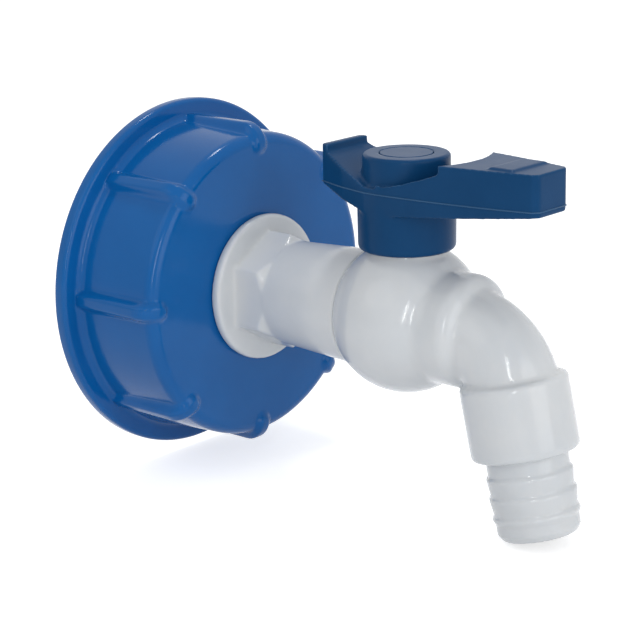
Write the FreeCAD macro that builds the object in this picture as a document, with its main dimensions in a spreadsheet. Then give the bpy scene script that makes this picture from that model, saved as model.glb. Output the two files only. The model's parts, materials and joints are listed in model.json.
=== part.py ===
import FreeCAD, Part
import os
import math
import Sketcher

# A ball tap on a cap for the outlet of a liquid tank, in millimetres.
# X runs with the flow from the tank to the spout, Z is the axis of the stem, and the
# origin is the centre of the cap's open mouth. The lever is drawn open, along the flow.

document = FreeCAD.newDocument("tank_tap")
sheet = document.addObject("Spreadsheet::Sheet", "Sizes")

sizes = {
    # cap: a screwed cover with an end wall, a boss for the tap and ribs to grip
    "skirt_wall": 6.7,
    "flange_thickness": 3.6,
    "flange_round": 1.1,
    "flange_rim": 4.5,
    "skirt_draft": 1.3,
    "skirt_root_round": 1.2,
    "cap_length": 25.75,
    "cap_edge_round": 2.7,
    "cap_thread_radius": 30.2,
    "gasket_undercut": 0.5,
    "cap_wall": 4.2,
    "boss_radius": 15.0,
    "boss_length": 3.0,
    "rib_count": 8,
    "rib_turn": 1.2,
    "rib_radius": 2.6,
    "rib_crest": 1.1,
    "rib_front_rise": 1.0,
    "rib_reach": 7.4,
    "rib_corner_radius": 2.7,
    # flat rings that seal the cap to the tank and the tap to the cap
    "cap_gasket_thickness": 3.0,
    "cap_gasket_inner_radius": 22.5,
    "flange_gasket_thickness": 1.4,
    "flange_gasket_inner_radius": 11.4,
    "flange_gasket_outer_radius": 14.6,
    "gasket_clearance": 0.3,
    # inlet: screwed tail, flange disc, spanner flats and tube
    "tail_radius": 10.4,
    "tail_length": 6.9,
    "tail_lead": 1.0,
    "thread_clearance": 0.1,
    "disc_radius": 17.0,
    "disc_thickness": 2.5,
    "disc_round": 0.8,
    "flats_width": 23.4,
    "flats_corner_radius": 13.6,
    "flats_length": 8.6,
    "flats_chamfer": 1.6,
    "tube_radius": 11.9,
    "tube_seam_radius": 13.05,
    "passage_radius": 6.0,
    # body: ball housing, outlet neck, elbow and socket
    "stem_distance": 69.5,
    "housing_radius": 16.87,
    "housing_step": 0.1,
    "chamber_radius": 10.3,
    "spigot_clearance": 0.05,
    "outlet_drop": 0.6,
    "neck_radius": 12.4,
    "neck_end": 89.7,
    "neck_round": 3.6,
    "elbow_radius": 9.8,
    "elbow_bend": 14.3,
    "spout_distance": 96.06,
    "spout_tilt": 12.6,
    "socket_radius": 11.75,
    "socket_start": 9.2,
    "socket_end": 25.6,
    "socket_round": 1.1,
    "socket_bore_radius": 9.3,
    "socket_bore_depth": 13.6,
    "post_radius": 8.65,
    "post_top": 22.0,
    # ball, its seats and their rings
    "ball_radius": 9.0,
    "ball_bore_radius": 5.4,
    "ball_clearance": 0.08,
    "seat_inner_radius": 5.7,
    "seat_face": 5.6,
    "seat_back": 8.7,
    "seat_clearance": 0.1,
    "cushion_radius": 8.4,
    "cushion_section": 0.9,
    "mouth_ring_section": 0.72,
    "ring_clearance": 0.03,
    # stem
    "stem_radius": 4.5,
    "stem_clearance": 0.06,
    "shoulder_radius": 5.9,
    "shoulder_clearance": 0.2,
    "shoulder_lift": 0.25,
    "shoulder_height": 1.7,
    "thrust_washer_thickness": 0.6,
    "tang_width": 8.0,
    "tang_thickness": 3.0,
    "tang_bottom": 7.0,
    "tang_clearance": 0.12,
    "lower_ring_height": 14.6,
    "upper_ring_height": 18.4,
    "stem_ring_section": 0.64,
    "drive_start": 24.1,
    "drive_width": 6.0,
    "drive_clearance": 0.06,
    "stem_top": 31.4,
    "pilot_depth": 11.0,
    # quarter-turn stops, one on the body and one inside the lever's skirt
    "stop_inner_radius": 5.2,
    "stop_outer_radius": 8.4,
    "stop_height": 2.0,
    "stop_gap": 0.35,
    "stop_angle": 130.0,
    "stop_play": 3.0,
    "quarter_turn": 90.0,
    # lever
    "skirt_radius": 10.8,
    "skirt_bottom_radius": 10.68,
    "skirt_bottom": 15.3,
    "skirt_round": 1.1,
    "skirt_inner_radius": 8.95,
    "web_bottom": 24.35,
    "web_top": 31.7,
    "hub_radius": 9.58,
    "hub_top": 36.4,
    "hub_round": 0.7,
    "lever_top": 36.75,
    "lever_crease": 28.9,
    "lever_foot": 30.1,
    "lever_width": 21.9,
    "arm_length": 38.4,
    "arm_middle_width": 18.4,
    "arm_end_width": 11.7,
    "arm_end_bottom": 27.6,
    "belly_bottom": 24.0,
    "belly_slope": 0.08,
    "arm_wall": 2.0,
    "arm_roof": 2.2,
    "arm_hollow_start": 20.6,
    "arm_corner": 1.2,
    "dish_radius": 18.5,
    "dish_rim": 34.9,
    "dish_middle_radius": 13.0,
    "dish_middle": 32.3,
    "wing_length": 18.6,
    "wing_end_width": 12.6,
    "wing_knee": 10.8,
    "wing_foot": 3.2,
    "wing_bulge": 0.5,
    "lip_top": 37.3,
    "lip_thickness": 2.0,
    "lip_rise": 1.7,
    "wing_knee_bottom": 26.0,
    "wing_foot_bottom": 24.3,
    "wing_end_bottom": 28.3,
    "pad_start": 26.6,
    "pad_end": 32.6,
    "pad_rise": 0.5,
    "pad_width": 12.0,
    # screw, washer and plug on the hub
    "washer_radius": 4.1,
    "washer_hole_radius": 2.0,
    "washer_thickness": 0.7,
    "screw_radius": 1.7,
    "screw_clearance": 0.05,
    "screw_length": 10.4,
    "screw_head_radius": 3.4,
    "screw_head_height": 2.0,
    "screw_slot_width": 0.9,
    "screw_slot_depth": 1.1,
    "recess_radius": 4.6,
    "plug_radius": 5.9,
    "plug_clearance": 0.1,
    "plug_thickness": 1.5,
    "plug_skirt_depth": 1.4,
    "plug_skirt_wall": 0.7,
    # hose tail below the elbow
    "nozzle_washer_thickness": 1.5,
    "nozzle_washer_inner_radius": 6.3,
    "nozzle_tail_clearance": 0.08,
    "barb_root_radius": 8.9,
    "barb_crest_radius": 9.5,
    "barb_valley_radius": 9.0,
    "barb_start": 29.3,
    "barb_pitch": 4.3,
    "barb_lead": 0.35,
    "barb_land": 2.4,
    "nozzle_tip": 43.4,
    "nozzle_tip_radius": 8.1,
    "nozzle_tip_round": 1.0,
}
for row, (name, value) in enumerate(sizes.items(), start=1):
    sheet.set("A%d" % row, name)
    sheet.set("B%d" % row, str(value))
    sheet.setAlias("B%d" % row, name)
document.recompute()


def size(text):
    # puts the sheet's name in front of every size in an expression
    words = []
    word = ""
    for letter in text + " ":
        if letter.isalnum() or letter == "_":
            word += letter
            continue
        words.append("Sizes." + word if word in sizes else word)
        words.append(letter)
        word = ""
    return "".join(words).strip()


def number(text):
    value = sheet.evalExpression(size(text))
    return float(getattr(value, "Value", value))


def bind(target, **expressions):
    for name, text in expressions.items():
        target.setExpression(name, size(text))


# where things lie along the flow and along the spout
skirt_root = "(cap_thread_radius + skirt_wall)"
skirt_front = "(cap_thread_radius + skirt_wall - skirt_draft)"
flange_edge = "(cap_thread_radius + skirt_wall + flange_rim)"
rib_line = "(cap_thread_radius + skirt_wall + rib_crest - rib_radius)"
rib_finish = "(cap_thread_radius + skirt_wall - rib_reach + rib_radius)"
shoulder_bottom = "(chamber_radius + shoulder_lift)"
shoulder_top = "(chamber_radius + shoulder_lift + shoulder_height)"
disc_front = "cap_length + disc_thickness"
flats_end = "cap_length + disc_thickness + flats_length"
seam = "stem_distance - sqrt(housing_radius^2 - (tube_seam_radius - housing_step)^2)"
wall_inside = "cap_length - cap_wall"
gasket_face = "cap_length - cap_wall - cap_gasket_thickness"
thread_depth = "cap_length - cap_wall - cap_gasket_thickness - gasket_clearance"
spigot_end = "stem_distance - seat_back"
chamber_end = "stem_distance + seat_back"
spigot_radius = "chamber_radius - spigot_clearance"
socket_floor = "socket_end - socket_bore_depth"
nozzle_top = "socket_end - socket_bore_depth + nozzle_washer_thickness"
pocket_radius = "flange_gasket_outer_radius + gasket_clearance"
pocket_top = shoulder_top + " + thrust_washer_thickness"
mouth_radius = "chamber_radius - spigot_clearance + 2 * mouth_ring_section + ring_clearance"
bend_turn = "(90 - spout_tilt)"


def plane(body, role):
    for feature in body.Origin.OriginFeatures:
        if feature.Role == role:
            return feature


def new_body(label):
    body = document.addObject("PartDesign::Body", label)
    body.Label = label
    return body


def new_sketch(body, role, shift=("0", "0", "0"), turn=None, about=(0, 0, 1)):
    # a sketch on one of the body's own planes, shifted and turned within it
    sketch = body.newObject("Sketcher::SketchObject", "profile")
    sketch.AttachmentSupport = [(plane(body, role), "")]
    sketch.MapMode = "FlatFace"
    if turn:
        turning = FreeCAD.Rotation(FreeCAD.Vector(*about), 1)
        sketch.AttachmentOffset = FreeCAD.Placement(FreeCAD.Vector(), turning)
        bind(sketch, **{".AttachmentOffset.Rotation.Angle": turn})
    for axis, text in zip("xyz", shift):
        if text != "0":
            bind(sketch, **{".AttachmentOffset.Base." + axis: text})
    return sketch


def hold(sketch, element, place, corner):
    # ties one point of the sketch to its two coordinates
    for kind, axis, text in (("DistanceX", -2, corner[0]), ("DistanceY", -1, corner[1])):
        if text == "0":
            sketch.addConstraint(Sketcher.Constraint("PointOnObject", element, place, axis))
            continue
        index = sketch.addConstraint(Sketcher.Constraint(kind, -1, 1, element, place, number(text)))
        sketch.setExpression("Constraints[%d]" % index, size(text))


def polygon(sketch, corners):
    first = sketch.GeometryCount
    points = [FreeCAD.Vector(number(x), number(y), 0) for x, y in corners]
    for start, end in zip(points, points[1:] + points[:1]):
        sketch.addGeometry(Part.LineSegment(start, end), False)
    for index, corner in enumerate(corners):
        following = first + (index + 1) % len(corners)
        sketch.addConstraint(Sketcher.Constraint("Coincident", first + index, 2, following, 1))
        hold(sketch, first + index, 1, corner)
    return sketch


def circle(sketch, centre, radius):
    middle = FreeCAD.Vector(number(centre[0]), number(centre[1]), 0)
    ring = sketch.addGeometry(Part.Circle(middle, FreeCAD.Vector(0, 0, 1), number(radius)), False)
    if centre == ("0", "0"):
        sketch.addConstraint(Sketcher.Constraint("Coincident", ring, 3, -1, 1))
    else:
        hold(sketch, ring, 3, centre)
    index = sketch.addConstraint(Sketcher.Constraint("Radius", ring, number(radius)))
    sketch.setExpression("Constraints[%d]" % index, size(radius))
    return sketch


def bent_line(sketch, start, bend, turn_end, finish, radius, sweep=90.0):
    # a line, an arc to the right and a second line
    point = [FreeCAD.Vector(number(x), number(y), 0) for x, y in (start, bend, turn_end, finish)]
    centre = FreeCAD.Vector(point[1].x, point[1].y - number(radius), 0)
    arc = Part.Circle(centre, FreeCAD.Vector(0, 0, 1), number(radius))
    sketch.addGeometry(Part.LineSegment(point[0], point[1]), False)
    sketch.addGeometry(Part.ArcOfCircle(arc, math.radians(90 - sweep), math.pi / 2), False)
    sketch.addGeometry(Part.LineSegment(point[2], point[3]), False)
    hold(sketch, 0, 1, start)
    hold(sketch, 0, 2, bend)
    hold(sketch, 2, 1, turn_end)
    hold(sketch, 2, 2, finish)
    sketch.addConstraint(Sketcher.Constraint("Tangent", 0, 2, 1, 2))
    sketch.addConstraint(Sketcher.Constraint("Coincident", 1, 1, 2, 1))


def rectangle(low, high):
    return [(low[0], low[1]), (high[0], low[1]), (high[0], high[1]), (low[0], high[1])]


def turned(body, sketch, axis, cut=False, angle=None):
    feature = body.newObject("PartDesign::Groove" if cut else "PartDesign::Revolution", "turned")
    feature.Profile = sketch
    feature.ReferenceAxis = (sketch, [axis])
    feature.Angle = 360
    if angle:
        feature.Midplane = True
        bind(feature, Angle=angle)
    settle(body, feature, cut)
    return feature


def padded(body, sketch, length, cut=False, midplane=False, backward=False):
    feature = body.newObject("PartDesign::Pocket" if cut else "PartDesign::Pad", "padded")
    feature.Profile = sketch
    feature.Reversed = backward
    if midplane:
        feature.Midplane = True
    bind(feature, Length=length)
    settle(body, feature, cut)
    return feature


def settle(body, feature, cut):
    # a feature that changes nothing is a mistake in its direction or its place
    before = feature.BaseFeature.Shape.Volume if feature.BaseFeature else 0.0
    document.recompute()
    after = feature.Shape.Volume
    if "Invalid" in feature.State or "Error" in feature.State or feature.Shape.isNull():
        raise RuntimeError("%s: %s failed" % (body.Label, feature.Name))
    if (after >= before - 1e-6) if cut else (after <= before + 1e-6):
        raise RuntimeError("%s: %s changed nothing" % (body.Label, feature.Name))


def rounded(body, radius, wanted, chamfer=False):
    # rounds every edge of the tip that the test picks out
    tip = body.Tip
    names = ["Edge%d" % (index + 1) for index, edge in enumerate(tip.Shape.Edges)
             if not edge.Degenerated and wanted(edge)]
    if not names:
        raise RuntimeError("%s: no edge to round" % body.Label)
    feature = body.newObject("PartDesign::Chamfer" if chamfer else "PartDesign::Fillet", "rounded")
    feature.Base = (tip, names)
    bind(feature, **{"Size" if chamfer else "Radius": radius})
    document.recompute()
    if "Invalid" in feature.State or not feature.Shape.isValid():
        raise RuntimeError("%s: %s failed" % (body.Label, feature.Name))
    return feature


def ring_edge(x=None, radius=None, reach=0.02):
    # a round edge about the X axis, at a distance along it and with a radius
    def wanted(edge):
        curve = edge.Curve
        if not isinstance(curve, Part.Circle) or abs(abs(curve.Axis.x) - 1) > 1e-6:
            return False
        near = x is None or abs(curve.Center.x - number(x)) < reach
        return near and (radius is None or abs(curve.Radius - number(radius)) < reach)
    return wanted


def level_edge(z, radius, reach=0.02):
    # a round edge that lies level at a height
    def wanted(edge):
        curve = edge.Curve
        if not isinstance(curve, Part.Circle) or abs(abs(curve.Axis.z) - 1) > 1e-6:
            return False
        return abs(curve.Center.z - number(z)) < reach and abs(curve.Radius - number(radius)) < reach
    return wanted


def ring(label, sections, role="XZ_Plane", shift=("0", "0", "0"), turn=None, axis="H_Axis"):
    # one turned ring with a plain four-sided section
    body = new_body(label)
    sketch = polygon(new_sketch(body, role, shift, turn), rectangle(*sections))
    turned(body, sketch, axis)
    return body


# ---- cap ----
def make_cap():
    body = new_body("cap_nut")
    profile = polygon(new_sketch(body, "XZ_Plane"), [
        ("0", flange_edge),
        ("flange_thickness", flange_edge),
        ("flange_thickness", skirt_root),
        ("cap_length", skirt_front),
        ("cap_length", pocket_radius),
        ("cap_length - flange_gasket_thickness", pocket_radius),
        ("cap_length - flange_gasket_thickness", "tail_radius + thread_clearance"),
        (wall_inside + " - boss_length", "tail_radius + thread_clearance"),
        (wall_inside + " - boss_length", "boss_radius"),
        (wall_inside, "boss_radius"),
        (wall_inside, "cap_thread_radius + gasket_undercut"),
        (thread_depth, "cap_thread_radius + gasket_undercut"),
        (thread_depth, "cap_thread_radius"),
        ("0", "cap_thread_radius"),
    ])
    turned(body, profile, "H_Axis")
    rounded(body, "cap_edge_round", ring_edge("cap_length", skirt_front))
    rounded(body, "skirt_root_round", ring_edge("flange_thickness", skirt_root))
    rounded(body, "flange_round", ring_edge(None, flange_edge))
    make_ribs(body)
    return body


def make_ribs(body):
    # each rib is a round bar along the skirt that turns over the front edge
    bar_radius = rib_line
    bar_front = "cap_length + rib_front_rise - rib_radius"
    start = ("flange_thickness / 2", bar_radius)
    bend = (bar_front + " - rib_corner_radius", bar_radius)
    turn_end = (bar_front, rib_line + " - rib_corner_radius")
    finish = (bar_front, rib_finish)
    for count in range(int(number("rib_count"))):
        turn = "%d * 360 / rib_count - rib_turn" % count
        path = new_sketch(body, "XZ_Plane", turn=turn, about=(1, 0, 0))
        bent_line(path, start, bend, turn_end, finish, "rib_corner_radius")
        profile = new_sketch(body, "YZ_Plane", ("0", "0", start[0]), turn=turn)
        circle(profile, ("0", bar_radius), "rib_radius")
        bar = body.newObject("PartDesign::AdditivePipe", "rib_bar")
        bar.Profile = profile
        bar.Spine = path
        settle(body, bar, False)
        end = body.newObject("PartDesign::AdditiveSphere", "rib_end")
        end.AttachmentSupport = [(plane(body, "YZ_Plane"), "")]
        end.MapMode = "FlatFace"
        bind(end, Radius="rib_radius")
        bind(end, **{
            ".AttachmentOffset.Base.x": "-" + finish[1] + " * sin(" + turn + ")",
            ".AttachmentOffset.Base.y": finish[1] + " * cos(" + turn + ")",
            ".AttachmentOffset.Base.z": finish[0],
        })
        settle(body, end, False)


def make_gaskets():
    ring("cap_gasket", ((gasket_face, "cap_gasket_inner_radius"),
                        (wall_inside, "cap_thread_radius + gasket_undercut - gasket_clearance")))
    ring("flange_gasket", (("cap_length - flange_gasket_thickness", "flange_gasket_inner_radius"),
                           ("cap_length", "flange_gasket_outer_radius")))


# ---- inlet ----
def make_inlet():
    body = new_body("inlet_body")
    groove_inner = "cushion_radius - cushion_section - ring_clearance"
    groove_outer = "cushion_radius + cushion_section + ring_clearance"
    groove_floor = spigot_end + " - 2 * cushion_section - ring_clearance"
    profile = polygon(new_sketch(body, "XZ_Plane"), [
        ("cap_length - tail_length", "passage_radius"),
        ("cap_length - tail_length", "tail_radius - tail_lead"),
        ("cap_length - tail_length + tail_lead", "tail_radius"),
        ("cap_length", "tail_radius"),
        ("cap_length", "disc_radius"),
        (disc_front, "disc_radius"),
        (disc_front, "flats_corner_radius"),
        (flats_end + " - flats_chamfer", "flats_corner_radius"),
        (flats_end, "tube_radius"),
        (seam, "tube_seam_radius"),
        (seam, spigot_radius),
        (spigot_end, spigot_radius),
        (spigot_end, groove_outer),
        (groove_floor, groove_outer),
        (groove_floor, groove_inner),
        (spigot_end, groove_inner),
        (spigot_end, "passage_radius"),
    ])
    turned(body, profile, "H_Axis")
    rounded(body, "disc_round", ring_edge(None, "disc_radius"))
    flats = new_sketch(body, "YZ_Plane", ("0", "0", disc_front))
    circle(flats, ("0", "0"), "disc_radius + disc_round")
    half = "flats_width / 2"
    side = "flats_width / (2 * sqrt(3))"
    polygon(flats, [
        ("0", "2 * " + side), ("-" + half, side), ("-" + half, "-" + side),
        ("0", "-2 * " + side), (half, "-" + side), (half, side),
    ])
    padded(body, flats, "flats_length", cut=True, backward=True)
    return body


# ---- body ----
def spout_sketch(body):
    # a sketch whose upright axis is the axis of the spout
    return new_sketch(body, "XZ_Plane", ("spout_distance", "0", "0"), turn="spout_tilt")


def bend_path(body, reach):
    # centre line of the outlet: level, round the bend and down the spout
    meeting = "spout_distance + outlet_drop * tan(spout_tilt)"
    leg = "elbow_bend * tan(" + bend_turn + " / 2)"
    path = new_sketch(body, "XZ_Plane")
    start = ("stem_distance + seat_face", "-outlet_drop")
    bend = (meeting + " - " + leg, "-outlet_drop")
    end_x = meeting + " + (" + leg + " + %s) * sin(spout_tilt)"
    end_z = "-outlet_drop - (" + leg + " + %s) * cos(spout_tilt)"
    turn_end = (end_x % "0", end_z % "0")
    finish = (end_x % reach, end_z % reach)
    bent_line(path, start, bend, turn_end, finish, "elbow_bend", 90 - number("spout_tilt"))
    return path, start


def swept(body, radius, reach, cut=False):
    path, start = bend_path(body, reach)
    section = new_sketch(body, "YZ_Plane", ("0", "0", start[0]))
    circle(section, ("0", start[1]), radius)
    kind = "PartDesign::SubtractivePipe" if cut else "PartDesign::AdditivePipe"
    feature = body.newObject(kind, "outlet")
    feature.Profile = section
    feature.Spine = path
    settle(body, feature, cut)


def make_body():
    body = new_body("valve_body")
    groove_inner = "cushion_radius - cushion_section - ring_clearance"
    groove_outer = "cushion_radius + cushion_section + ring_clearance"
    ball = body.newObject("PartDesign::AdditiveSphere", "housing")
    ball.AttachmentSupport = [(plane(body, "XY_Plane"), "")]
    ball.MapMode = "FlatFace"
    bind(ball, Radius="housing_radius")
    bind(ball, **{".AttachmentOffset.Base.x": "stem_distance"})
    settle(body, ball, False)
    # outlet neck, with its rounded end
    neck = polygon(new_sketch(body, "XZ_Plane", ("0", "-outlet_drop", "0")),
                   rectangle(("stem_distance", "0"), ("neck_end", "neck_radius")))
    turned(body, neck, "H_Axis")
    rounded(body, "neck_round", ring_edge("neck_end", "neck_radius"))
    swept(body, "elbow_radius", "1")
    socket = polygon(spout_sketch(body),
                     rectangle(("0", "-socket_end"), ("socket_radius", "-socket_start")))
    turned(body, socket, "V_Axis")
    rounded(body, "socket_round", lambda edge: isinstance(edge.Curve, Part.Circle)
            and abs(edge.Curve.Radius - number("socket_radius")) < 0.01)
    # post round the stem
    post = circle(new_sketch(body, "XY_Plane"), ("stem_distance", "0"), "post_radius")
    padded(body, post, "post_top")
    stop = polygon(new_sketch(body, "XZ_Plane", ("stem_distance", "0", "0"), turn="180 - quarter_turn / 2", about=(0, 1, 0)),
                   rectangle(("stop_inner_radius", "post_top - 0.5"),
                             ("stop_outer_radius", "post_top + stop_height")))
    turned(body, stop, "V_Axis", angle="stop_angle")
    # inside: the seam face, ball chamber, seat ring grooves, passage and socket
    seam_cut = polygon(new_sketch(body, "XZ_Plane"),
                       rectangle(("stem_distance - housing_radius - 1", "0"),
                                 (seam, "housing_radius + 1")))
    turned(body, seam_cut, "H_Axis", cut=True)
    chamber = polygon(new_sketch(body, "XZ_Plane"), [
        (seam + " - 1", "0"),
        (seam + " - 1", mouth_radius),
        (seam + " + 2 * mouth_ring_section + ring_clearance", mouth_radius),
        (seam + " + 2 * mouth_ring_section + ring_clearance", "chamber_radius"),
        (chamber_end, "chamber_radius"),
        (chamber_end, groove_outer),
        (chamber_end + " + 2 * cushion_section + ring_clearance", groove_outer),
        (chamber_end + " + 2 * cushion_section + ring_clearance", groove_inner),
        (chamber_end, groove_inner),
        (chamber_end, "0"),
    ])
    turned(body, chamber, "H_Axis", cut=True)
    swept(body, "passage_radius", "socket_start", cut=True)
    bore = polygon(spout_sketch(body),
                   rectangle(("0", "-socket_end - 1"), ("socket_bore_radius", "-(" + socket_floor + ")")))
    turned(body, bore, "V_Axis", cut=True)
    stem_hole = polygon(new_sketch(body, "XZ_Plane", ("stem_distance", "0", "0")), [
        ("0", "ball_radius / 2"),
        ("shoulder_radius + shoulder_clearance", "ball_radius / 2"),
        ("shoulder_radius + shoulder_clearance", pocket_top),
        ("stem_radius + stem_clearance", pocket_top),
        ("stem_radius + stem_clearance", "post_top + stop_height + 1"),
        ("0", "post_top + stop_height + 1"),
    ])
    turned(body, stem_hole, "V_Axis", cut=True)
    return body


# ---- rings ----
def torus(label, radius, section, x, z, along_flow):
    feature = document.addObject("Part::Torus", label)
    feature.Label = label
    bind(feature, Radius1=radius, Radius2=section)
    turn = FreeCAD.Rotation(FreeCAD.Vector(0, 1, 0), 90 if along_flow else 0)
    feature.Placement = FreeCAD.Placement(FreeCAD.Vector(), turn)
    bind(feature, **{".Placement.Base.x": x, ".Placement.Base.z": z})
    return feature


def make_rings():
    torus("body_ring", "chamber_radius - spigot_clearance + mouth_ring_section + ring_clearance / 2",
          "mouth_ring_section", seam + " + mouth_ring_section + ring_clearance / 2", "0", True)
    torus("inlet_seat_ring", "cushion_radius", "cushion_section", spigot_end + " - cushion_section", "0", True)
    torus("outlet_seat_ring", "cushion_radius", "cushion_section", chamber_end + " + cushion_section", "0", True)
    for label, height in (("stem_ring_lower", "lower_ring_height"), ("stem_ring_upper", "upper_ring_height")):
        torus(label, "stem_radius - stem_ring_section", "stem_ring_section", "stem_distance", height, False)


# ---- ball and seats ----
def make_seat(label, side):
    body = new_body(label)
    face = "stem_distance %s seat_face" % side
    back = "stem_distance %s seat_back" % side
    low, high = (back, face) if side == "-" else (face, back)
    outline = polygon(new_sketch(body, "XZ_Plane"),
                      rectangle((low, "seat_inner_radius"), (high, "chamber_radius - seat_clearance")))
    turned(body, outline, "H_Axis")
    hollow = body.newObject("PartDesign::SubtractiveSphere", "ball_seat")
    hollow.AttachmentSupport = [(plane(body, "XY_Plane"), "")]
    hollow.MapMode = "FlatFace"
    bind(hollow, Radius="ball_radius + ball_clearance")
    bind(hollow, **{".AttachmentOffset.Base.x": "stem_distance"})
    settle(body, hollow, True)


def make_ball():
    body = new_body("ball")
    solid = body.newObject("PartDesign::AdditiveSphere", "ball_solid")
    solid.AttachmentSupport = [(plane(body, "XY_Plane"), "")]
    solid.MapMode = "FlatFace"
    bind(solid, Radius="ball_radius")
    bind(solid, **{".AttachmentOffset.Base.x": "stem_distance"})
    settle(body, solid, False)
    bore = circle(new_sketch(body, "YZ_Plane", ("0", "0", "stem_distance")), ("0", "0"), "ball_bore_radius")
    padded(body, bore, "2 * ball_radius + 2", cut=True, midplane=True)
    half = "tang_thickness / 2 + tang_clearance"
    slot = polygon(new_sketch(body, "XZ_Plane"),
                   rectangle(("stem_distance - (" + half + ")", "tang_bottom - tang_clearance"),
                             ("stem_distance + " + half, "ball_radius + 1")))
    padded(body, slot, "2 * ball_radius + 2", cut=True, midplane=True)


# ---- stem ----
def make_stem():
    body = new_body("stem")
    groove = "stem_radius - 2 * stem_ring_section - ring_clearance"
    outline = [("0", "tang_bottom"), ("tang_width / 2", "tang_bottom"), ("tang_width / 2", shoulder_bottom),
               ("shoulder_radius", shoulder_bottom), ("shoulder_radius", shoulder_top),
               ("stem_radius", shoulder_top)]
    for height in ("lower_ring_height", "upper_ring_height"):
        low = height + " - stem_ring_section - ring_clearance"
        high = height + " + stem_ring_section + ring_clearance"
        outline += [("stem_radius", low), (groove, low), (groove, high), ("stem_radius", high)]
    corner = "drive_width * 0.7"
    outline += [("stem_radius", "drive_start"), (corner, "drive_start"), (corner, "stem_top"), ("0", "stem_top")]
    turned(body, polygon(new_sketch(body, "XZ_Plane", ("stem_distance", "0", "0")), outline), "V_Axis")
    blade = new_sketch(body, "XY_Plane", ("stem_distance", "0", "tang_bottom"))
    for side in ("", "-"):
        polygon(blade, rectangle((side + "tang_thickness / 2", "-tang_width"), (side + "tang_width", "tang_width")))
    padded(body, blade, shoulder_bottom + " - tang_bottom", cut=True, backward=True)
    drive = new_sketch(body, "XY_Plane", ("stem_distance", "0", "drive_start"))
    circle(drive, ("0", "0"), "stem_radius + 1")
    half = "drive_width / 2"
    polygon(drive, rectangle(("-" + half, "-" + half), (half, half)))
    padded(body, drive, "stem_top - drive_start", cut=True, backward=True)
    pilot = circle(new_sketch(body, "XY_Plane", ("stem_distance", "0", "stem_top")), ("0", "0"),
                   "screw_radius + screw_clearance")
    padded(body, pilot, "pilot_depth", cut=True)


def make_thrust_washer():
    ring("thrust_washer", (("stem_radius + stem_clearance", shoulder_top), ("shoulder_radius", pocket_top)),
         shift=("stem_distance", "0", "0"), axis="V_Axis")


# ---- lever ----
def section(body, x, half_width, bottom, top):
    # one cross-section of the lever: upright walls above a crease, sloping in below it
    bottom_half = half_width + " - (lever_crease - (" + bottom + ")) * belly_slope"
    sketch = new_sketch(body, "YZ_Plane", ("0", "0", "stem_distance + " + x))
    return polygon(sketch, [
        ("-(" + bottom_half + ")", bottom), (bottom_half, bottom), (half_width, "lever_crease"),
        (half_width, top), ("-" + half_width, top), ("-" + half_width, "lever_crease"),
    ])


def lofted(body, sections, ruled):
    feature = body.newObject("PartDesign::AdditiveLoft", "lofted")
    feature.Profile = sections[0]
    feature.Sections = sections[1:]
    feature.Ruled = ruled
    settle(body, feature, False)


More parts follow.
